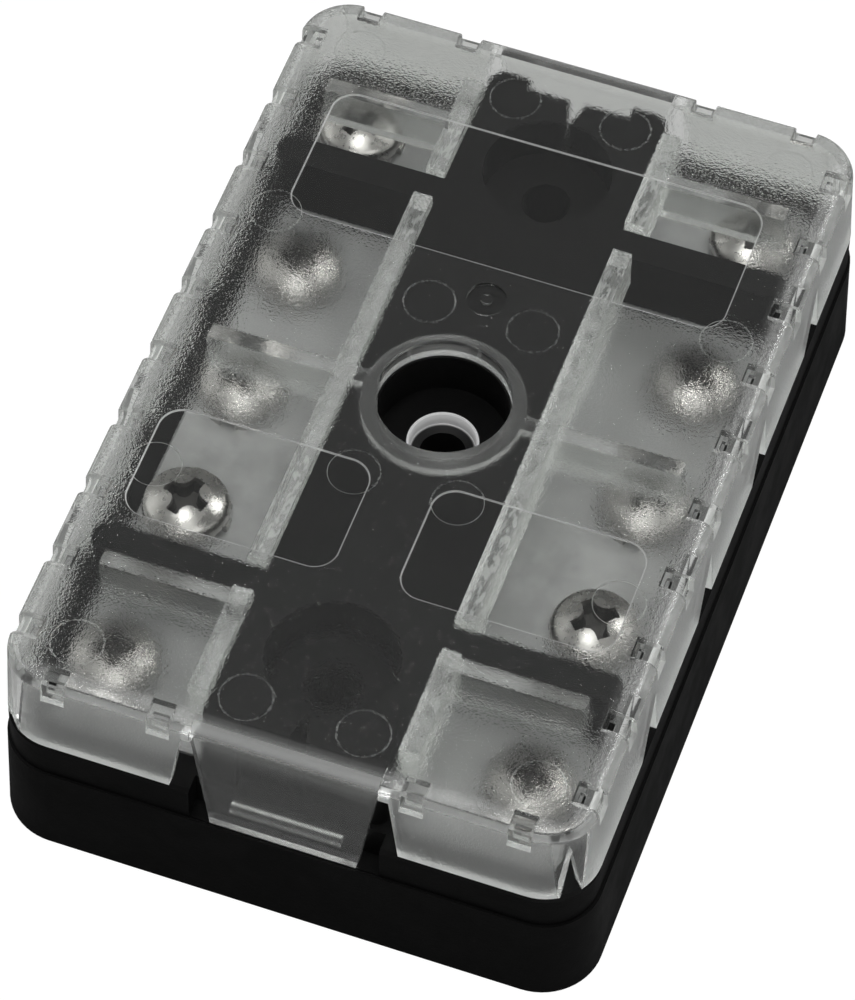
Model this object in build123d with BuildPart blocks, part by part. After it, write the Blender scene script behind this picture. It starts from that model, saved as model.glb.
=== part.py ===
from build123d import *
import os
from math import atan, cos, degrees, radians, sin, tan

os.makedirs("parts", exist_ok=True)

# Twin bus bar block: black moulded base, two plated bars with pan head terminal screws,
# and a clear lift-off cover whose skirt is divided into break-out panels.
# Millimetres. The origin is the centre of the base's underside, +Z up, long side along Y.

# Overall sizes
overall_height = 28.4
cover_length = 93.6
cover_width = 62.0
base_overhang = 1.15

# Clear cover
plate_thickness = 1.5
skirt_depth = 10.8
skirt_wall = 1.3
skirt_lean = 0.5
cover_corner_radius = 5.5
cover_edge_radius = 1.5
cover_opening_radius = 7.1
collar_wall = 1.5
collar_flat = (200.0, 17.0)

# Break-out panels of the long skirts
panels_in_length = 5.2
gap_edge = 2.8
gap_foot = 1.6
panel_gap_height = 6.3
corner_slit_width = 2.4
corner_slit_height = 7.8
break_notch_start = 0.8
break_notch_drop = 0.5
break_notch_inset = 1.5

# Pockets in the cover's upper edge
pocket_width = 2.5
pocket_reach = 2.9
pocket_drop = 1.0
pocket_face_depth = 0.5
pocket_face_height = 3.0
pocket_slot = (0.7, 1.2)
pocket_slot_inset = 0.7
end_pocket_reach = 2.3
end_pocket_slot = (0.6, 1.7)
end_pocket_slot_inset = 1.2
end_pocket_inner_x = 13.3
end_pocket_corner_inset = 6.5

# Latch flaps at the two ends
flap_depth = 15.2
flap_top_width = 19.5
flap_bottom_width = 15.6
flap_slot_top = 2.2
flap_slot_width = 1.2
end_panel_slant = 1.2
latch_width = 11.8
latch_height = 1.0
latch_clearance = 0.1
latch_rise = 1.7

# Ribs under the cover
rib_height = 5.1
rail_rib_thickness = 2.1
cross_rib_thickness = 1.8
cross_rib_wall_gap = 1.6
cross_rib_middle_y = 0.3
cross_rib_screw_offset = 1.1
cross_rib_end_gap = 1.4
short_rib_end_gap = 4.2
rib_fit = 0.2

# Smooth panels and gate of the cover
panel_recess = 0.15
label_panel = (48.0, 17.0)
label_panel_inset = 20.9
window_panel = (22.8, 13.9)
window_panel_x = 14.8
window_panel_inset = 29.2
smooth_corner_radius = 2.6
gate_y = 13.3
gate_radius = 2.1
gate_recess = 0.4
gate_nub_radius = 0.6

# Base housing
base_corner_radius = 6.5
base_draft = 1.8
band_height = 4.7
band_inset = 0.3
skirt_seat_gap = 0.3
spine_width = 19.9
spine_end_gap = 1.1
spine_gap = 1.2
spine_side_gap = 0.1
barrier_offset = 0.3
barrier_thickness = 3.4
barrier_end_wall = 1.0
barrier_corner_radius = 1.2
spine_corner_radius = 1.6
spine_step = (11.6, 1.4)
spine_notch = (2.6, 3.4)
well_radius = 6.9
well_depth = 5.3
end_well_inset = 11.5
mounting_hole_radius = 2.6
base_wall = 2.6
underside_relief = 1.2
underside_rib = 1.8
mount_boss_radius = 6.2
base_edge = 0.4

# Bus bars
bar_top_depth = 10.6
bar_thickness = 3.2
bar_margin = 2.5
bar_corner_radius = 1.5
bar_edge_chamfer = 0.3
bar_gap = 0.15

# Terminal screws, number 10 pan head, and their toothed washers
screw_edge_distance = 5.0
screw_end_distance = 6.6
screw_pitch = 16.4
head_radius = 4.6
head_side = 1.2
head_height = 2.7
head_crown_radius = 2.75
shank_radius = 2.4
shank_length = 12.7
thread_gap = 0.05
shank_pocket_gap = 0.5
recess_span = 5.2
recess_arm = 1.4
recess_depth = 1.6
washer_radius = 4.75
washer_root_radius = 3.8
washer_thickness = 1.0
washer_teeth = 10
washer_root_turn = 10.0
washer_tip_turn = 8.0
recess_turns = {"left": (20.0, -17.0, 31.0, 12.0, 64.0), "right": (3.0, 40.0, 75.0, -25.0, 8.0)}

# Centre bushing
bushing_radius = 3.8
bushing_bore_radius = 2.45
bushing_gap = 0.03

# Heights worked out from the sizes above
plate_underside = overall_height - plate_thickness
skirt_bottom = overall_height - skirt_depth
flap_bottom = overall_height - flap_depth
wall_top = skirt_bottom - skirt_seat_gap
band_bottom = wall_top - band_height
spine_top = plate_underside - spine_gap
well_floor = spine_top - well_depth
bar_top = overall_height - bar_top_depth
bar_bottom = bar_top - bar_thickness
head_seat = bar_top + washer_thickness
lean_angle = degrees(atan(skirt_lean / skirt_depth))

# Plan sizes worked out from the sizes above
base_width = cover_width + 2 * base_overhang
base_length = cover_length + 2 * base_overhang
inner_width = cover_width - 2 * skirt_wall
inner_length = cover_length - 2 * skirt_wall
spine_length = inner_length - 2 * spine_end_gap
end_well_y = spine_length / 2 - end_well_inset
bar_inner_x = spine_width / 2 + bar_gap
bar_outer_x = inner_width / 2 - bar_margin
bar_length = inner_length - 2 * bar_margin
bar_width = bar_outer_x - bar_inner_x
bar_x = (bar_outer_x + bar_inner_x) / 2
screw_x = bar_outer_x - screw_edge_distance
end_screw_y = bar_length / 2 - screw_end_distance
screw_y = (-end_screw_y, -screw_pitch, 0.0, screw_pitch, end_screw_y)
barrier_y = (end_screw_y + screw_pitch) / 2 + barrier_offset
barrier_reach = bar_outer_x + barrier_end_wall
band_setback = band_inset + band_bottom * tan(radians(base_draft))
rail_rib_x = spine_width / 2 + spine_side_gap + rail_rib_thickness / 2
barrier_inner = barrier_y - barrier_thickness / 2
barrier_outer = barrier_y + barrier_thickness / 2
cross_rib_y = (-barrier_outer - cross_rib_wall_gap, cross_rib_middle_y, end_screw_y - cross_rib_screw_offset)
cross_rib_reach = bar_outer_x - cross_rib_end_gap
short_rib_end = inner_length / 2 - short_rib_end_gap
label_panel_y = cover_length / 2 - label_panel_inset
window_panel_xy = (window_panel_x, window_panel_inset - cover_length / 2)
panel_pitch = cover_length / panels_in_length
panel_gaps = [panel_pitch * (k + 0.5) for k in (-2, -1, 0, 1)]
pocket_pitch = panel_pitch / 2
side_pocket_y = [pocket_pitch * (k + 0.5) for k in range(-5, 5)]
end_pocket_x = (end_pocket_inner_x, cover_width / 2 - end_pocket_corner_inset)

# Recess of the base's end walls that a latch flap drops into
flap_room = 0.4
flap_recess_inner = inner_length / 2 - flap_room
flap_recess_bottom = flap_bottom - flap_room
latch_z = flap_bottom + latch_rise


# Black base: outer wall, central spine with three screw wells, and two barriers a side
with BuildPart() as base_housing:
    with BuildSketch(Plane.XY):
        RectangleRounded(base_width, base_length, base_corner_radius)
    extrude(amount=band_bottom, taper=base_draft)
    chamfer(base_housing.edges().group_by(Axis.Z)[0], base_edge)

    # The band under the cover's skirt stands back a little from the drafted wall
    with BuildSketch(Plane.XY.offset(band_bottom)):
        RectangleRounded(base_width - 2 * band_setback, base_length - 2 * band_setback,
                         base_corner_radius - band_setback)
    extrude(amount=band_height)
    chamfer(base_housing.edges().group_by(Axis.Z)[-1], base_edge)

    with BuildSketch(Plane.XY.offset(bar_bottom)):
        RectangleRounded(spine_width, spine_length, spine_corner_radius)
        with Locations((0, barrier_y), (0, -barrier_y)):
            RectangleRounded(2 * barrier_reach, barrier_thickness, barrier_corner_radius)
    extrude(amount=spine_top - bar_bottom)

    # Each end of the spine is stepped back beside the latch and split by a tapered notch
    with BuildSketch(Plane.XY.offset(wall_top)):
        for end in (1, -1):
            with Locations((0, end * spine_length / 2)):
                Rectangle(spine_step[0], 2 * spine_step[1])
            mouth = end * spine_length / 2
            tip = end * (spine_length / 2 - spine_step[1] - spine_notch[1])
            with BuildLine():
                Polyline((-spine_notch[0] / 2, mouth), (0, tip), (spine_notch[0] / 2, mouth), close=True)
            make_face()
    extrude(amount=spine_top - wall_top, mode=Mode.SUBTRACT)

    # Channels that the bars lie in, running through the barriers
    with BuildSketch(Plane.XY.offset(bar_bottom)):
        with Locations((bar_x, 0), (-bar_x, 0)):
            RectangleRounded(bar_width + 2 * bar_gap, bar_length + 2 * bar_gap, bar_corner_radius + bar_gap)
    extrude(amount=bar_thickness + bar_gap, mode=Mode.SUBTRACT)

    # Recesses in the end walls for the latch flaps
    with BuildSketch(Plane.XY.offset(flap_recess_bottom)):
        for end in (1, -1):
            with Locations((0, end * (flap_recess_inner + base_length / 2))):
                Rectangle(flap_top_width + 2 * flap_room, base_length)
    extrude(amount=wall_top - flap_recess_bottom, mode=Mode.SUBTRACT)

    # Relieved underside: the base stands on its rim, two long ribs and the bosses
    with BuildSketch(Plane.XY):
        RectangleRounded(base_width - 2 * base_wall, base_length - 2 * base_wall,
                         base_corner_radius - base_wall)
        with Locations((rail_rib_x, 0), (-rail_rib_x, 0)):
            Rectangle(underside_rib, base_length, mode=Mode.SUBTRACT)
        for row in (0, barrier_y, -barrier_y):
            with Locations((0, row)):
                Rectangle(base_width, underside_rib, mode=Mode.SUBTRACT)
        with Locations((0, 0), (0, end_well_y), (0, -end_well_y)):
            Circle(mount_boss_radius, mode=Mode.SUBTRACT)
    extrude(amount=underside_relief, mode=Mode.SUBTRACT)

    # Pockets below the bars for the screw shanks
    with BuildSketch(Plane.XY.offset(bar_bottom)):
        with Locations(*[(side * screw_x, y) for side in (1, -1) for y in screw_y]):
            Circle(shank_radius + shank_pocket_gap)
    extrude(amount=-(bar_bottom - head_seat + shank_length + 1), mode=Mode.SUBTRACT)

    # Three screw wells in the spine, the middle one bushed
    with BuildSketch(Plane.XY.offset(well_floor)):
        with Locations((0, 0), (0, end_well_y), (0, -end_well_y)):
            Circle(well_radius)
    extrude(amount=well_depth, mode=Mode.SUBTRACT)
    with BuildSketch(Plane.XY):
        Circle(bushing_radius + bushing_gap)
        with Locations((0, end_well_y), (0, -end_well_y)):
            Circle(mounting_hole_radius)
    extrude(amount=well_floor, mode=Mode.SUBTRACT)
base_housing.part.label = "base_housing"
export_step(base_housing.part, "parts/base_housing.step")


# Clear cover, one moulding: plate, skirts with panels, latch flaps, ribs and collar
with BuildPart() as terminal_cover:
    with BuildSketch(Plane.XY.offset(overall_height)):
        RectangleRounded(cover_width, cover_length, cover_corner_radius)
    extrude(amount=-flap_depth, taper=-lean_angle)
    fillet(terminal_cover.edges().group_by(Axis.Z)[-1], cover_edge_radius)
    with BuildSketch(Plane.XY.offset(plate_underside)):
        RectangleRounded(inner_width, inner_length, cover_corner_radius - skirt_wall)
    extrude(amount=-(flap_depth - plate_thickness), taper=-lean_angle, mode=Mode.SUBTRACT)

    # Slots beside the flaps; outside the flaps the skirt ends at its own depth
    slot_z = overall_height - flap_slot_top
    with BuildSketch(Plane.XZ):
        for side in (1, -1):
            slot_x = flap_top_width / 2
            with BuildLine():
                Polyline((side * slot_x, slot_z),
                         (side * (slot_x + flap_slot_width), slot_z),
                         (side * (slot_x + flap_slot_width + end_panel_slant), skirt_bottom),
                         (side * cover_width, skirt_bottom),
                         (side * cover_width, 0),
                         (side * flap_bottom_width / 2, 0),
                         (side * flap_bottom_width / 2, flap_bottom),
                         close=True)
            make_face()
    extrude(amount=cover_length, both=True, mode=Mode.SUBTRACT)

    # Tapered gaps between the panels: one edge upright, the other sloping
    with BuildSketch(Plane.YZ):
        for gap_y in panel_gaps:
            with BuildLine():
                Polyline((gap_y + gap_edge, skirt_bottom - 1),
                         (gap_y + gap_edge, skirt_bottom + panel_gap_height),
                         (gap_y - gap_foot, skirt_bottom),
                         (gap_y - gap_foot, skirt_bottom - 1),
                         close=True)
            make_face()
    extrude(amount=cover_width, both=True, mode=Mode.SUBTRACT)

    # Slits that part the end panels from the side panels at the rounded corners
    for side in (1, -1):
        for end in (1, -1):
            corner = (side * (cover_width / 2 - cover_corner_radius),
                      end * (cover_length / 2 - cover_corner_radius), skirt_bottom)
            with BuildSketch(Plane(corner, x_dir=(-side * end, 1, 0), z_dir=(side, end, 0))):
                with BuildLine():
                    Polyline((-corner_slit_width / 2, 0), (0, corner_slit_height),
                             (corner_slit_width / 2, 0), (0, -1), close=True)
                make_face()
            extrude(amount=2 * cover_corner_radius, mode=Mode.SUBTRACT)

    # Pockets along the edge: a recess in the plate and a shallow groove down the skirt
    side_pockets = [(side * cover_width / 2, y) for side in (1, -1) for y in side_pocket_y]
    end_pockets = [(side * x, end * cover_length / 2)
                   for side in (1, -1) for end in (1, -1) for x in end_pocket_x]
    with BuildSketch(Plane.XY.offset(overall_height - pocket_drop)):
        with Locations(*side_pockets):
            Rectangle(2 * pocket_reach, pocket_width)
        with Locations(*end_pockets):
            Rectangle(pocket_width, 2 * end_pocket_reach)
    extrude(amount=2 * pocket_drop, mode=Mode.SUBTRACT)
    with BuildSketch(Plane.XY.offset(overall_height - pocket_face_height)):
        with Locations(*side_pockets):
            Rectangle(2 * pocket_face_depth, pocket_width)
        with Locations(*end_pockets):
            Rectangle(pocket_width, 2 * pocket_face_depth)
    extrude(amount=pocket_face_height, mode=Mode.SUBTRACT)
    slot_inset = pocket_reach - pocket_slot_inset
    end_slot_inset = end_pocket_reach - end_pocket_slot_inset
    with BuildSketch(Plane.XY.offset(plate_underside - 1)):
        with Locations(*[(x - slot_inset * (1 if x > 0 else -1), y) for x, y in side_pockets]):
            Rectangle(pocket_slot[0], pocket_slot[1])
        with Locations(*[(x, y - end_slot_inset * (1 if y > 0 else -1)) for x, y in end_pockets]):
            Rectangle(end_pocket_slot[1], end_pocket_slot[0])
    extrude(amount=plate_thickness + 1, mode=Mode.SUBTRACT)

    # The edge is cut lower at each panel's break line
    with BuildSketch(Plane.XY.offset(overall_height - break_notch_drop)):
        notch_length = pocket_pitch / 2 - break_notch_start
        notch_shift = (pocket_pitch / 2 + break_notch_start) / 2
        for gap_y in panel_gaps:
            with Locations(*[(side * (cover_width / 2), gap_y - notch_shift) for side in (1, -1)]):
                Rectangle(2 * break_notch_inset, notch_length)
    extrude(amount=2 * break_notch_drop, mode=Mode.SUBTRACT)

    # Rail ribs along both sides of the spine, and cross ribs over the terminals
    with BuildSketch(Plane.XY.offset(plate_underside)):
        rail_half = barrier_inner - rib_fit
        short_start = barrier_outer + rib_fit
        with Locations((rail_rib_x, 0), (-rail_rib_x, 0)):
            Rectangle(rail_rib_thickness, 2 * rail_half)
        short_middle = (short_start + short_rib_end) / 2
        with Locations(*[(side * rail_rib_x, end * short_middle) for side in (1, -1) for end in (1, -1)]):
            Rectangle(rail_rib_thickness, short_rib_end - short_start)
        cross_middle = (rail_rib_x + cross_rib_reach) / 2
        with Locations(*[(side * cross_middle, y) for side in (1, -1) for y in cross_rib_y]):
            Rectangle(cross_rib_reach - rail_rib_x, cross_rib_thickness)
    extrude(amount=-rib_height)

    # Collar round the opening, tied to the rail ribs by two shallow webs
    with BuildSketch(Plane.XY.offset(plate_underside)):
        Circle(cover_opening_radius + collar_wall)
        with Locations((0, cross_rib_y[1])):
            Rectangle(2 * rail_rib_x, cross_rib_thickness)
    extrude(amount=-(spine_gap - spine_side_gap))
    flat_angle, flat_half_angle = collar_flat
    flat_distance = cover_opening_radius * cos(radians(flat_half_angle))
    with BuildSketch(Plane.XY.offset(overall_height)):
        Circle(cover_opening_radius)
        with Locations(Location((0, 0, 0), (0, 0, flat_angle))):
            with Locations((flat_distance + collar_wall / 2, 0)):
                Rectangle(collar_wall, 2 * cover_opening_radius, mode=Mode.SUBTRACT)
    extrude(amount=-(overall_height - spine_top), mode=Mode.SUBTRACT)

    # Ridge inside each latch flap, bearing on the wall of the base's recess
    with BuildSketch(Plane.XY.offset(latch_z)):
        latch_face = flap_recess_inner + latch_clearance
        latch_back = cover_length / 2 - skirt_wall / 2
        with Locations(*[(0, end * (latch_face + latch_back) / 2) for end in (1, -1)]):
            Rectangle(latch_width, latch_back - latch_face)
    extrude(amount=latch_height)

    # Smooth label panel and windows, sunk a little into the textured top
    with BuildSketch(Plane.XY.offset(overall_height)):
        with Locations((0, label_panel_y)):
            RectangleRounded(label_panel[0], label_panel[1], smooth_corner_radius)
        with Locations(window_panel_xy, (-window_panel_xy[0], window_panel_xy[1])):
            RectangleRounded(window_panel[0], window_panel[1], smooth_corner_radius)
    extrude(amount=-panel_recess, mode=Mode.SUBTRACT)

    # Gate dimple with its nub
    with BuildSketch(Plane.XY.offset(overall_height)):
        with Locations((0, gate_y)):
            Circle(gate_radius)
            Circle(gate_nub_radius, mode=Mode.SUBTRACT)
    extrude(amount=-gate_recess, mode=Mode.SUBTRACT)
terminal_cover.part.label = "terminal_cover"
export_step(terminal_cover.part, "parts/terminal_cover.step")


# Two plated bars, each with five tapped holes
for name, side in (("left", -1), ("right", 1)):
    with BuildPart() as bus_bar:
        with BuildSketch(Plane.XY.offset(bar_bottom)):
            with Locations((side * bar_x, 0)):
                RectangleRounded(bar_width, bar_length, bar_corner_radius)
            with Locations(*[(side * screw_x, y) for y in screw_y]):
                Circle(shank_radius + thread_gap, mode=Mode.SUBTRACT)
        extrude(amount=bar_thickness)
        outline = bus_bar.faces().sort_by(Axis.Z)[-1].outer_wire().edges()
        chamfer(outline, bar_edge_chamfer)
    bus_bar.part.label = "bus_bar_" + name
    export_step(bus_bar.part, "parts/bus_bar_" + name + ".step")


# Pan head terminal screws with cross recesses, numbered from the front
for name, side in (("left", -1), ("right", 1)):
    for number, y in enumerate(screw_y, start=1):
        seat = (side * screw_x, y, head_seat)
        turn = radians(recess_turns[name][number - 1])
        with BuildPart() as terminal_screw:
            with BuildSketch(Plane(seat, x_dir=(1, 0, 0), z_dir=(0, -1, 0))):
                with BuildLine():
                    Polyline((0, head_height), (0, -shank_length), (shank_radius, -shank_length),
                             (shank_radius, 0), (head_radius, 0), (head_radius, head_side),
                             (head_crown_radius, head_height), close=True)
                make_face()
            revolve(axis=Axis(seat, (0, 0, 1)))
            top = Plane((seat[0], seat[1], head_seat + head_height), x_dir=(cos(turn), sin(turn), 0),
                        z_dir=(0, 0, 1))
            with BuildSketch(top):
                Rectangle(recess_span, recess_arm)
                Rectangle(recess_arm, recess_span)
            extrude(amount=-recess_depth, mode=Mode.SUBTRACT)
        label = "terminal_screw_" + name + "_" + str(number)
        terminal_screw.part.label = label
        export_step(terminal_screw.part, "parts/" + label + ".step")


# Toothed washers under the screw heads: each tooth is narrower at its tip
washer_outline = []
for tooth in range(washer_teeth):
    for turn, radius in ((-washer_root_turn, washer_root_radius), (-washer_tip_turn, washer_radius),
                         (washer_tip_turn, washer_radius), (washer_root_turn, washer_root_radius)):
        angle = radians(360 / washer_teeth * tooth + turn)
        washer_outline.append((radius * cos(angle), radius * sin(angle)))
for name, side in (("left", -1), ("right", 1)):
    for number, y in enumerate(screw_y, start=1):
        with BuildPart() as tooth_washer:
            with BuildSketch(Plane((side * screw_x, y, bar_top))):
                with BuildLine():
                    Polyline(*washer_outline, close=True)
                make_face()
                Circle(shank_radius + 2 * thread_gap, mode=Mode.SUBTRACT)
            extrude(amount=washer_thickness)
        label = "tooth_washer_" + name + "_" + str(number)
        tooth_washer.part.label = label
        export_step(tooth_washer.part, "parts/" + label + ".step")


# Metal bushing of the middle well, flush with the well's floor and the underside
with BuildPart() as center_bushing:
    with BuildSketch(Plane.XY):
        Circle(bushing_radius)
        Circle(bushing_bore_radius, mode=Mode.SUBTRACT)
    extrude(amount=well_floor)
center_bushing.part.label = "center_bushing"
export_step(center_bushing.part, "parts/center_bushing.step")
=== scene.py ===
import math

import bmesh
import bpy
from mathutils import Matrix, Vector


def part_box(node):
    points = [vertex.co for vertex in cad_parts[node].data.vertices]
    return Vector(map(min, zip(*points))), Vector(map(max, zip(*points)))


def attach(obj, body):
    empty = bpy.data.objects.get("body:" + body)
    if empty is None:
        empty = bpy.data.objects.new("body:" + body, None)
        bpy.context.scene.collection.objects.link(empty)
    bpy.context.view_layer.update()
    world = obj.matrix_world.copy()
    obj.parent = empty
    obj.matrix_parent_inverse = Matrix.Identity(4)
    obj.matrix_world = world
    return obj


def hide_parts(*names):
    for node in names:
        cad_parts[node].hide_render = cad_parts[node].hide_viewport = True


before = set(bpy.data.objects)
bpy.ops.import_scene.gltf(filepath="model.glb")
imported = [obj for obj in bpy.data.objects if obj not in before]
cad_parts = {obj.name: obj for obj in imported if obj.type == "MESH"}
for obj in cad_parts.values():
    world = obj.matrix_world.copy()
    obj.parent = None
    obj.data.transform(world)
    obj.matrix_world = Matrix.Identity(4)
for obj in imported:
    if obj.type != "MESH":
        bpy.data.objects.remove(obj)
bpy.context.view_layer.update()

MM = 0.001

# Heights of the cover, in metres, down from the top of its CAD box
TOP_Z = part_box("terminal_cover")[1][2]
PLATE = 1.5 * MM
SKIRT_Z = TOP_Z - 10.8 * MM

# Half the width of the latch flaps, and the cover's plastic
FLAP_SIDE = 9.9 * MM
PLASTIC_IOR = 1.46

# Terminal screw heads
HEAD_HEIGHT = 2.7 * MM
HEAD_DOME = 8.5 * MM


class Nodes:
    """A node tree with short calls for the nodes that the materials use."""

    def __init__(self, name):
        self.material = bpy.data.materials.new(name)
        self.material.use_nodes = True
        self.tree = self.material.node_tree
        self.tree.nodes.clear()
        self.output = self.tree.nodes.new("ShaderNodeOutputMaterial")

    def add(self, kind, **values):
        node = self.tree.nodes.new("ShaderNode" + kind)
        for key, value in values.items():
            if key in node.inputs:
                self.put(node.inputs[key], value)
            else:
                setattr(node, key, value)
        return node

    def put(self, socket, value):
        if isinstance(value, bpy.types.NodeSocket):
            self.tree.links.new(value, socket)
        else:
            socket.default_value = value

    def math(self, operation, a, b=0.0, c=0.0, clamp=False):
        node = self.tree.nodes.new("ShaderNodeMath")
        node.operation = operation
        node.use_clamp = clamp
        for socket, value in zip(node.inputs, (a, b, c)):
            self.put(socket, value)
        return node.outputs[0]

    def times(self, *values):
        result = values[0]
        for value in values[1:]:
            result = self.math("MULTIPLY", result, value)
        return result

    def total(self, *values):
        result = values[0]
        for value in values[1:]:
            result = self.math("ADD", result, value)
        return result

    def without(self, value):
        return self.math("SUBTRACT", 1.0, value)

    def length(self, a, b):
        return self.math("SQRT", self.total(self.times(a, a), self.times(b, b)))

    def ramp(self, value, low, high, out_low=0.0, out_high=1.0, smooth=True):
        node = self.tree.nodes.new("ShaderNodeMapRange")
        node.interpolation_type = "SMOOTHSTEP" if smooth else "LINEAR"
        node.clamp = True
        for key, number in (("Value", value), ("From Min", low), ("From Max", high),
                            ("To Min", out_low), ("To Max", out_high)):
            self.put(node.inputs[key], number)
        return node.outputs[0]

    def noise(self, scale, detail=2.0, roughness=0.5, vector=None):
        node = self.add("TexNoise", Scale=scale, Detail=detail, Roughness=roughness)
        self.put(node.inputs["Vector"], vector or self.place())
        return node.outputs["Fac"]

    def mix_color(self, factor, a, b):
        node = self.tree.nodes.new("ShaderNodeMix")
        node.data_type = "RGBA"
        self.put(node.inputs[0], factor)
        self.put(node.inputs[6], a)
        self.put(node.inputs[7], b)
        return node.outputs[2]

    def place(self):
        if not hasattr(self, "coordinates"):
            self.coordinates = self.tree.nodes.new("ShaderNodeTexCoord").outputs["Object"]
        return self.coordinates

    def stretched(self, x, y, z):
        node = self.add("VectorMath", operation="MULTIPLY")
        self.put(node.inputs[0], self.place())
        self.put(node.inputs[1], (x, y, z))
        return node.outputs[0]

    def axes(self):
        if not hasattr(self, "separated"):
            self.separated = self.add("SeparateXYZ", Vector=self.place())
        return self.separated.outputs

    def bump(self, height, distance, strength=1.0, normal=None):
        node = self.add("Bump", Strength=strength, Distance=distance, Height=height)
        if normal is not None:
            self.put(node.inputs["Normal"], normal)
        return node.outputs["Normal"]

    def principled(self, **values):
        return self.add("BsdfPrincipled", **values)

    def finish(self, shader):
        self.tree.links.new(shader, self.output.inputs["Surface"])
        return self.material


def grey(value, warm=0.0):
    return (value * (1 + warm), value, value * (1 - warm), 1.0)


def base_plastic():
    n = Nodes("black_plastic")
    broad = n.noise(140.0, 3.0, 0.6)
    fine = n.noise(2600.0, 2.0, 0.6)
    color = n.mix_color(broad, grey(0.002), grey(0.004))
    rough = n.ramp(broad, 0.3, 0.7, 0.46, 0.58)
    normal = n.bump(fine, 0.03 * MM, 0.5)
    shader = n.principled(**{"Base Color": color, "Roughness": rough, "Normal": normal,
                             "IOR": 1.5, "Specular IOR Level": 0.13})
    return n.finish(shader.outputs[0])


def plated_bar():
    n = Nodes("plated_bar")
    broad = n.noise(90.0, 4.0, 0.6)
    fine = n.noise(1500.0, 3.0, 0.6)
    color = n.mix_color(n.ramp(broad, 0.35, 0.65), grey(0.29), grey(0.42))
    rough = n.ramp(fine, 0.3, 0.7, 0.36, 0.48)
    normal = n.bump(fine, 0.01 * MM, 0.5)
    shader = n.principled(**{"Base Color": color, "Roughness": rough, "Normal": normal,
                             "Metallic": 0.5})
    return n.finish(shader.outputs[0])


def bright_steel(name, low, high, rough_low, rough_high, warm=0.0):
    n = Nodes(name)
    broad = n.noise(260.0, 3.0, 0.6)
    fine = n.noise(3000.0, 2.0, 0.6)
    color = n.mix_color(broad, grey(low, warm), grey(high, warm))
    rough = n.ramp(broad, 0.3, 0.7, rough_low, rough_high)
    normal = n.bump(fine, 0.006 * MM, 0.4)
    shader = n.principled(**{"Base Color": color, "Roughness": rough, "Normal": normal,
                             "Metallic": 1.0})
    return n.finish(shader.outputs[0])


def screw_metal():
    """Bright head whose cross recess has shade painted into its colour, darker with depth."""
    n = Nodes("screw_steel")
    x, y, z = n.axes()
    radius = n.length(x, y)
    dome = n.math("SUBTRACT", HEAD_HEIGHT, n.times(radius, radius, 0.5 / HEAD_DOME))
    depth = n.math("SUBTRACT", dome, z)
    recess = n.times(n.ramp(depth, 0.12 * MM, 0.8 * MM),
                     n.ramp(radius, 2.9 * MM, 3.1 * MM, 1.0, 0.0),
                     n.ramp(z, 0.1 * MM, 0.2 * MM))
    broad = n.noise(700.0, 3.0, 0.6)
    fine = n.noise(3000.0, 2.0, 0.6)
    bright = n.mix_color(broad, grey(0.42, 0.03), grey(0.54, 0.03))
    # Painted shade: the cross recess is coloured near black, more so the deeper it goes
    recess_shade = n.mix_color(broad, grey(0.05, 0.03), grey(0.13, 0.03))
    color = n.mix_color(recess, bright, recess_shade)
    rough = n.total(n.ramp(broad, 0.3, 0.7, 0.24, 0.32), n.times(recess, 0.25))
    normal = n.bump(fine, 0.006 * MM, 0.4)
    shader = n.principled(**{"Base Color": color, "Roughness": rough, "Normal": normal,
                             "Metallic": 1.0})
    return n.finish(shader.outputs[0])


def sleeve_metal(shoulder):
    """Pale metal mouth above the shoulder, with black shade painted below it."""
    n = Nodes("bushing_metal")
    _, _, z = n.axes()
    lit = n.ramp(z, shoulder - 0.05 * MM, shoulder + 0.02 * MM)
    broad = n.noise(900.0, 3.0, 0.6)
    pale = n.mix_color(broad, grey(0.72), grey(0.84))
    # Painted shade: below the shoulder the bore is coloured near black
    color = n.mix_color(lit, grey(0.004), pale)
    # Stands in for the light that the pale walls throw at each other
    caught = n.times(lit, n.ramp(z, shoulder, shoulder + 1.5 * MM, 0.06, 0.24))
    shader = n.principled(**{"Base Color": color, "Roughness": 0.45, "Metallic": n.times(lit, 0.6),
                             "Specular IOR Level": 0.3, "Emission Color": (1.0, 1.0, 1.0, 1.0),
                             "Emission Strength": caught})
    return n.finish(shader.outputs[0])


def panel_distance(n, center, size, radius):
    """Distance past the rounded rectangle's inner core, so that its outline is at the radius."""
    x, y, _ = n.axes()
    parts = []
    for value, middle, full in ((x, center[0], size[0]), (y, center[1], size[1])):
        away = n.math("ABSOLUTE", n.math("SUBTRACT", value, middle))
        parts.append(n.math("MAXIMUM", n.math("SUBTRACT", away, full / 2 - radius), 0.0))
    return n.length(*parts)


def panel_masks(n):
    """The smooth panels in the plate, and the thin lines along their edges."""
    radius = 2.6 * MM
    panels = [((0, 25.9 * MM), (48 * MM, 17 * MM))]
    panels += [((side * 14.8 * MM, -17.6 * MM), (22.8 * MM, 13.9 * MM)) for side in (1, -1)]
    smooth = outline = 0.0
    for center, size in panels:
        distance = panel_distance(n, center, size, radius)
        inside = n.ramp(distance, radius - 0.05 * MM, radius + 0.05 * MM, 1.0, 0.0)
        off_line = n.math("ABSOLUTE", n.math("SUBTRACT", distance, radius))
        smooth = n.math("MAXIMUM", smooth, inside)
        outline = n.math("MAXIMUM", outline, n.ramp(off_line, 0.04 * MM, 0.13 * MM, 1.0, 0.0))
    return smooth, outline


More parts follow.
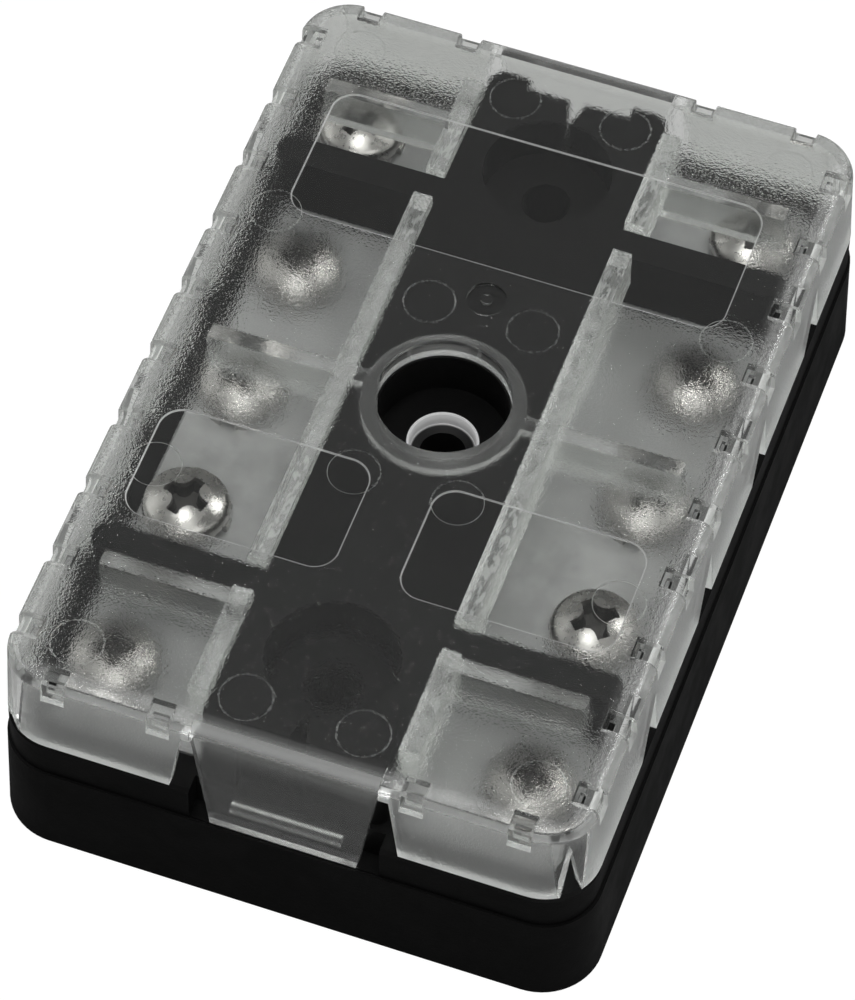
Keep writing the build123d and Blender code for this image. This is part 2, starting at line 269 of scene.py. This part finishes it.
def cover_masks(n):
    """Where each finish lies on the cover: 1 in its region and 0 outside it."""
    x, y, z = n.axes()
    away_x = n.math("ABSOLUTE", x)
    away_y = n.math("ABSOLUTE", y)
    center = n.length(x, y)
    smooth, outline = panel_masks(n)
    top = n.ramp(z, TOP_Z - 0.35 * MM, TOP_Z - 0.2 * MM)
    flap_width = n.ramp(away_x, FLAP_SIDE, FLAP_SIDE + 0.1 * MM, 1.0, 0.0)
    bend = n.times(flap_width, n.ramp(away_y, 43.4 * MM, 44.8 * MM))
    textured = n.times(top, n.without(smooth), n.without(bend))
    # Outer faces of the skirts are textured too, but not the flaps, inner faces and ribs
    below = n.ramp(z, TOP_Z - 1.4 * MM, TOP_Z - 0.3 * MM, 1.0, 0.0)
    flap = n.times(flap_width, n.ramp(away_y, 45.0 * MM, 45.2 * MM))
    outer = n.math("MAXIMUM", n.ramp(away_x, 30.5 * MM, 30.7 * MM),
                   n.ramp(away_y, 46.3 * MM, 46.5 * MM))
    skirt = n.times(outer, below, n.without(flap))
    inside = n.times(n.ramp(away_x, 28.6 * MM, 29.0 * MM, 1.0, 0.0),
                     n.ramp(away_y, 44.3 * MM, 44.8 * MM, 1.0, 0.0))
    rib = n.times(inside, n.ramp(z, TOP_Z - PLATE - 0.5 * MM, TOP_Z - PLATE - 0.2 * MM, 1.0, 0.0))
    wall = n.without(inside)
    foot = n.times(wall, n.ramp(z, SKIRT_Z + 0.2 * MM, SKIRT_Z + 0.7 * MM, 1.0, 0.0),
                   n.without(flap))
    rail = n.times(rib, n.times(n.ramp(away_x, 12.3 * MM, 12.4 * MM, 1.0, 0.0),
                                n.ramp(away_x, 9.8 * MM, 9.9 * MM)))
    crest = n.times(n.ramp(away_x, 9.8 * MM, 9.9 * MM, 1.0, 0.0),
                    n.ramp(z, TOP_Z - 1.1 * MM, TOP_Z - 0.4 * MM),
                    n.ramp(away_y, 44.8 * MM, 46.6 * MM))
    collar = n.times(n.ramp(center, 8.8 * MM, 9.0 * MM, 1.0, 0.0),
                     n.ramp(center, 6.4 * MM, 6.6 * MM), rib)
    edge = n.times(wall, n.ramp(z, TOP_Z - 3.6 * MM, TOP_Z - 3.2 * MM))
    plate_middle = n.times(n.ramp(away_x, 27.4 * MM, 29.6 * MM, 1.0, 0.0),
                           n.ramp(away_y, 43.6 * MM, 45.4 * MM, 1.0, 0.0))
    return {"textured": textured, "outline": n.times(outline, top), "skirt": skirt, "flap": flap,
            "rib": rib, "foot": foot, "rail": rail, "crest": crest, "collar": collar, "edge": edge,
            "border": n.times(textured, n.without(plate_middle)),
            "rim": n.ramp(center, 6.45 * MM, 6.6 * MM, 1.0, 0.0)}


def clear_cover():
    """Clear plastic: grained plate and skirts, smooth panels, cloudier ribs, feet and borders; painted
    highlights on the flap crests, panel outlines and rails, and painted shade on the wall of the central
    hole.
    """
    n = Nodes("clear_cover")
    mask = cover_masks(n)
    peel = n.noise(3400.0, 1.0, 0.55)
    fine = n.noise(7000.0, 0.0, 0.5)
    streak = n.noise(1.0, 1.0, 0.6, n.stretched(2600.0, 900.0, 1500.0))
    grain = n.total(n.times(peel, 0.7), n.times(fine, 0.3))
    amount = n.total(n.times(n.math("MAXIMUM", mask["textured"], mask["skirt"]), 0.97), 0.03)
    normal = n.bump(n.times(grain, amount), 0.10 * MM)
    rough = n.total(n.times(mask["textured"], 0.03), n.times(mask["skirt"], 0.26),
                    n.times(mask["rib"], 0.16), n.times(mask["crest"], 0.25),
                    n.times(mask["flap"], 0.14), 0.04)
    cloud_and_highlight = n.total(n.times(mask["foot"], 0.26), n.times(mask["skirt"], 0.14),
                    n.times(mask["rib"], 0.03), 0.003,
                    # Painted sheen: streaks of white cloud along the rails stand for light caught on the
                    # rib faces
                    n.times(mask["rail"], n.ramp(streak, 0.38, 0.64, 0.18, 0.42)),
                    n.times(mask["textured"], n.ramp(fine, 0.48, 0.66, 0.0, 0.02)),
                    n.times(mask["border"], n.ramp(peel, 0.36, 0.64, 0.05, 0.17)),
                    n.times(mask["edge"], 0.07), n.times(mask["collar"], 0.02))
    # Painted highlight: the rounded crests of the flaps are made cloudy white as a bright line
    cloud_and_highlight = n.math("MAXIMUM", n.times(mask["crest"], 0.32), cloud_and_highlight)
    # Painted highlight: the panel outlines are made cloudy white as thin bright lines
    cloud_and_highlight = n.math("MINIMUM", n.math("MAXIMUM", n.times(mask["outline"], 0.36), cloud_and_highlight), 0.9)
    # Painted shade: the wall of the central hole is coloured near black
    tint_and_hole_shade = n.mix_color(mask["rim"], (0.93, 0.94, 0.925, 1.0), (0.05, 0.05, 0.05, 1.0))
    plastic = n.principled(**{"Base Color": tint_and_hole_shade, "Roughness": rough, "Normal": normal,
                              "IOR": PLASTIC_IOR, "Transmission Weight": n.without(cloud_and_highlight)})
    # The cover casts a light shadow instead of a glass one
    through = n.add("BsdfTransparent", Color=(0.88, 0.89, 0.88, 1.0))
    shadow = n.add("LightPath").outputs["Is Shadow Ray"]
    shader = n.add("MixShader", Fac=shadow)
    n.put(shader.inputs[1], plastic.outputs[0])
    n.put(shader.inputs[2], through.outputs[0])
    return n.finish(shader.outputs[0])


def frosted_line():
    """The raised ring that an ejector leaves: the same plastic, cloudier."""
    n = Nodes("frosted_line")
    tone = n.mix_color(n.noise(900.0, 2.0), (0.80, 0.81, 0.80, 1.0), (0.92, 0.93, 0.92, 1.0))
    plastic = n.principled(**{"Base Color": tone, "Roughness": 0.3, "IOR": PLASTIC_IOR,
                              "Transmission Weight": 0.96})
    return n.finish(plastic.outputs[0])


def floor_material():
    n = Nodes("pale_floor")
    tone = n.mix_color(n.noise(3.0), grey(0.22), grey(0.24))
    matte = n.add("BsdfDiffuse", Color=tone)
    glow = n.add("Emission", Color=(1.0, 1.0, 1.0, 1.0), Strength=1.16)
    path = n.add("LightPath").outputs
    seen = n.math("MAXIMUM", path["Is Camera Ray"], n.math("MULTIPLY", path["Is Transmission Ray"], 0.46))
    shader = n.add("MixShader", Fac=n.math("MULTIPLY", seen, 0.86))
    n.put(shader.inputs[1], matte.outputs[0])
    n.put(shader.inputs[2], glow.outputs[0])
    return n.finish(shader.outputs[0])


def set_material(obj, material):
    obj.data.materials.clear()
    obj.data.materials.append(material)


def new_piece(name, mesh, material, body):
    obj = bpy.data.objects.new(name, mesh)
    bpy.context.scene.collection.objects.link(obj)
    set_material(obj, material)
    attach(obj, body)
    return obj


def lathe(name, profile, steps):
    """A closed solid turned about Z from (radius, height) points that start and end on the axis."""
    mesh = bmesh.new()
    rings = []
    for radius, height in profile:
        if radius == 0:
            rings.append([mesh.verts.new((0, 0, height))])
            continue
        rings.append([mesh.verts.new((radius * math.cos(2 * math.pi * k / steps),
                                      radius * math.sin(2 * math.pi * k / steps), height))
                      for k in range(steps)])
    for low, high in zip(rings, rings[1:]):
        for k in range(steps):
            m = (k + 1) % steps
            if len(low) == 1:
                mesh.faces.new((low[0], high[m], high[k]))
            elif len(high) == 1:
                mesh.faces.new((low[k], low[m], high[0]))
            else:
                mesh.faces.new((low[k], low[m], high[m], high[k]))
    bmesh.ops.recalc_face_normals(mesh, faces=mesh.faces)
    data = bpy.data.meshes.new(name)
    mesh.to_mesh(data)
    mesh.free()
    return data


def curve_point(start, middle, end, t):
    """Point at t of the parabola from start to end that passes through middle halfway."""
    control = [2 * m - (s + e) / 2 for s, m, e in zip(start, middle, end)]
    return tuple((1 - t) ** 2 * s + 2 * t * (1 - t) * c + t * t * e
                 for s, c, e in zip(start, control, end))


def cross_outline(reach, half_width, waist, steps=6):
    """Cross with four hollow flanks: reach of the arms, half their end width, waist radius."""
    start = (reach, half_width)
    end = (half_width, reach)
    middle = (waist * math.cos(math.pi / 4), waist * math.sin(math.pi / 4))
    arm_points = [(reach, -half_width)]
    arm_points += [curve_point(start, middle, end, k / steps) for k in range(steps)]
    points = []
    for arm in range(4):
        base = arm * math.pi / 2
        points += [(px * math.cos(base) - py * math.sin(base),
                    px * math.sin(base) + py * math.cos(base)) for px, py in arm_points]
    return points


def cross_cutter(name, levels):
    """Closed prism through (height, reach, half width, waist) levels of the cross outline."""
    mesh = bmesh.new()
    loops = [[mesh.verts.new((px, py, z)) for px, py in cross_outline(reach, half, waist)]
             for z, reach, half, waist in levels]
    count = len(loops[0])
    for low, high in zip(loops, loops[1:]):
        for k in range(count):
            m = (k + 1) % count
            mesh.faces.new((low[k], low[m], high[m], high[k]))
    mesh.faces.new(list(reversed(loops[0])))
    mesh.faces.new(loops[-1])
    bmesh.ops.triangulate(mesh, faces=mesh.faces)
    bmesh.ops.recalc_face_normals(mesh, faces=mesh.faces)
    data = bpy.data.meshes.new(name)
    mesh.to_mesh(data)
    mesh.free()
    return data


def screw_mesh():
    """Pan head screw about the origin, its seat at height 0, with a tapered cross recess."""
    dome = HEAD_DOME
    fillet = 1.2 * MM
    head = 4.58 * MM
    shank = 2.4 * MM
    tip = -12.7 * MM
    point = 0.4 * MM
    dome_z = HEAD_HEIGHT - dome
    fillet_z = dome_z + math.sqrt((dome - fillet) ** 2 - (head - fillet) ** 2)
    meet = math.atan2(fillet_z - dome_z, head - fillet)
    profile = [(0, tip), (shank - point, tip), (shank, tip + 0.5 * MM), (shank, 0),
               (head - 0.13 * MM, 0), (head, 0.13 * MM)]
    for k in range(9):
        turn = meet * k / 8
        profile.append((head - fillet + fillet * math.cos(turn), fillet_z + fillet * math.sin(turn)))
    for k in range(1, 10):
        turn = meet + (math.pi / 2 - meet) * k / 10
        profile.append((dome * math.cos(turn), dome_z + dome * math.sin(turn)))
    profile.append((0, HEAD_HEIGHT))
    body = bpy.data.objects.new("screw_blank", lathe("screw_blank", profile, 72))
    bpy.context.scene.collection.objects.link(body)
    floor_level = (0.6 * MM, 1.9 * MM, 0.5 * MM, 1.0 * MM)
    mouth_level = (3.2 * MM, 2.75 * MM, 0.78 * MM, 1.55 * MM)
    levels = (floor_level, mouth_level)
    cutter = bpy.data.objects.new("recess", cross_cutter("recess", levels))
    bpy.context.scene.collection.objects.link(cutter)
    cut = body.modifiers.new("recess", "BOOLEAN")
    cut.operation = "DIFFERENCE"
    cut.solver = "EXACT"
    cut.object = cutter
    bpy.context.view_layer.update()
    shape = body.evaluated_get(bpy.context.evaluated_depsgraph_get())
    data = bpy.data.meshes.new_from_object(shape)
    data.name = "pan_head_screw"
    for obj in (body, cutter):
        bpy.data.objects.remove(obj)
    data.polygons.foreach_set("use_smooth", [True] * len(data.polygons))
    data.set_sharp_from_angle(angle=math.radians(32))
    return data


def ring_mesh(name, centers, section, steps=64):
    """A closed section of (radius, height) points turned about each centre."""
    mesh = bmesh.new()
    for cx, cy in centers:
        loops = [[mesh.verts.new((cx + r * math.cos(2 * math.pi * k / steps),
                                  cy + r * math.sin(2 * math.pi * k / steps), z))
                  for k in range(steps)] for r, z in section]
        for low, high in zip(loops, loops[1:] + loops[:1]):
            for k in range(steps):
                m = (k + 1) % steps
                mesh.faces.new((low[k], low[m], high[m], high[k]))
    bmesh.ops.recalc_face_normals(mesh, faces=mesh.faces)
    data = bpy.data.meshes.new(name)
    mesh.to_mesh(data)
    mesh.free()
    data.polygons.foreach_set("use_smooth", [True] * len(data.polygons))
    data.set_sharp_from_angle(angle=math.radians(32))
    return data


# Finishes of the CAD nodes
steel = screw_metal()
washer = bright_steel("washer_steel", 0.34, 0.46, 0.28, 0.40, 0.02)
bushing = bright_steel("bushing_metal", 0.62, 0.72, 0.30, 0.42)
bar = plated_bar()
looks = {"base_housing": base_plastic(), "terminal_cover": clear_cover(), "center_bushing": bushing}
for node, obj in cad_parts.items():
    if node.startswith("terminal_screw"):
        material = steel
    elif node.startswith("tooth_washer"):
        material = washer
    elif node.startswith("bus_bar"):
        material = bar
    else:
        material = looks[node]
    for index in range(len(obj.material_slots)):
        obj.material_slots[index].material = material

# Terminal screws with domed heads and tapered cross recesses, each turned its own way
recess_turns = {"left": (20.0, -17.0, 31.0, 12.0, 64.0), "right": (3.0, 40.0, 75.0, -25.0, 8.0)}
screw_shape = screw_mesh()
for side, turns in recess_turns.items():
    for number, turn in enumerate(turns, start=1):
        node = "terminal_screw_" + side + "_" + str(number)
        low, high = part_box(node)
        screw = bpy.data.objects.new("domed_screw_" + side + "_" + str(number), screw_shape)
        bpy.context.scene.collection.objects.link(screw)
        screw.location = ((low[0] + high[0]) / 2, (low[1] + high[1]) / 2, high[2] - HEAD_HEIGHT)
        screw.rotation_euler = (0, 0, math.radians(turn))
        bpy.context.view_layer.update()
        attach(screw, "base")
        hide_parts(node)
# The ten share one mesh, so one of them sets the material of all
set_material(screw, steel)

# Rings that the ejectors leave on the underside of the plate
ring_places = [(side * x * MM, y * MM) for side in (1, -1)
               for x, y in ((6.2, -40.8), (5.6, -11.5), (5.7, 11.6), (6.2, 40.3),
                            (24.9, -17.5), (24.9, 17.3), (24.3, -40.5), (24.1, 40.8))]
ring_radius = 2.72 * MM
ring_half = 0.035 * MM
ring_top = TOP_Z - PLATE - 0.002 * MM
ring_section = ((ring_radius - ring_half, ring_top), (ring_radius, ring_top - ring_half),
                (ring_radius + ring_half, ring_top))
rings = ring_mesh("ejector_rings", ring_places, ring_section)
new_piece("ejector_rings", rings, frosted_line(), "cover")

# Bushing with its bright thin-walled mouth over the bore, whose lower part is painted black as shade
bush_low, bush_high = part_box("center_bushing")
bush_radius = (bush_high[0] - bush_low[0]) / 2
mouth = bush_high[2]
shoulder = mouth - 1.7 * MM
bore = 2.45 * MM
bush_section = ((bush_radius, bush_low[2]), (bush_radius, mouth - 0.06 * MM),
                (bush_radius - 0.06 * MM, mouth), (bush_radius - 0.16 * MM, mouth),
                (bush_radius - 0.26 * MM, mouth - 0.15 * MM), (bush_radius - 0.30 * MM, shoulder),
                (bore, shoulder - 0.2 * MM), (bore, bush_low[2]))
bush_center = ((bush_low[0] + bush_high[0]) / 2, (bush_low[1] + bush_high[1]) / 2)
bush_mesh = ring_mesh("sleeve", [bush_center], bush_section, 96)
sleeve = new_piece("sleeve", bush_mesh, sleeve_metal(shoulder), "base")
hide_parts("center_bushing")

# Floor
bpy.ops.mesh.primitive_plane_add(size=6.0, location=(0, 0, -0.0002))
floor = bpy.context.object
floor.name = "studio_floor"
set_material(floor, floor_material())

# Soft studio light
world = bpy.data.worlds.new("studio")
bpy.context.scene.world = world
world.use_nodes = True
background = world.node_tree.nodes["Background"]
background.inputs["Color"].default_value = (1.0, 1.0, 1.0, 1.0)
background.inputs["Strength"].default_value = 0.08


def soft_box(name, position, width, height, power):
    """A rectangular lamp that faces the object."""
    light = bpy.data.lights.new(name, "AREA")
    light.shape = "RECTANGLE"
    light.size = width
    light.size_y = height
    light.energy = power
    obj = bpy.data.objects.new(name, light)
    direction = Vector((0, 0, 0.01)) - Vector(position)
    turned = direction.to_track_quat("-Z", "Y").to_matrix().to_4x4()
    obj.matrix_world = Matrix.Translation(position) @ turned
    bpy.context.scene.collection.objects.link(obj)


soft_box("front_sheet", (0.20, -0.50, 0.78), 0.8, 0.6, 3.2)
soft_box("left_sheet", (-0.80, 0.10, 0.50), 0.6, 0.6, 1.5)
soft_box("right_sheet", (0.80, -0.10, 0.50), 0.6, 0.6, 1.4)
soft_box("back_sheet", (-0.12, 0.62, 0.90), 1.2, 1.0, 0.5)
soft_box("back_right_box", (0.34, 0.42, 0.58), 0.15, 0.15, 0.95)
soft_box("overhead_box", (-0.08, -0.02, 0.80), 0.13, 0.13, 0.75)


# Camera at the photograph's angle: position, then the rows of its turn (right, down, forward)
camera_position = (0.10599, -0.31403, 0.48301)
camera_rows = ((0.941382, 0.337201, 0.009797),
               (0.281522, -0.769278, -0.573547),
               (-0.185864, 0.542685, -0.819114))
focal_pixels = 5483.6
image_height = 1000
sensor = 36.0
camera_data = bpy.data.cameras.new("photo_camera")
camera_data.sensor_fit = "AUTO"
camera_data.sensor_width = sensor
camera_data.lens = focal_pixels / image_height * sensor
camera_data.clip_start = 0.01
camera_data.clip_end = 10.0
camera = bpy.data.objects.new("photo_camera", camera_data)
right, down, forward = (Vector(row) for row in camera_rows)
turn = Matrix((right, -down, -forward)).transposed()
camera.matrix_world = Matrix.Translation(camera_position) @ turn.to_4x4()
bpy.context.scene.collection.objects.link(camera)
bpy.context.scene.camera = camera

# Colours shown as they are
bpy.context.scene.view_settings.view_transform = "Standard"
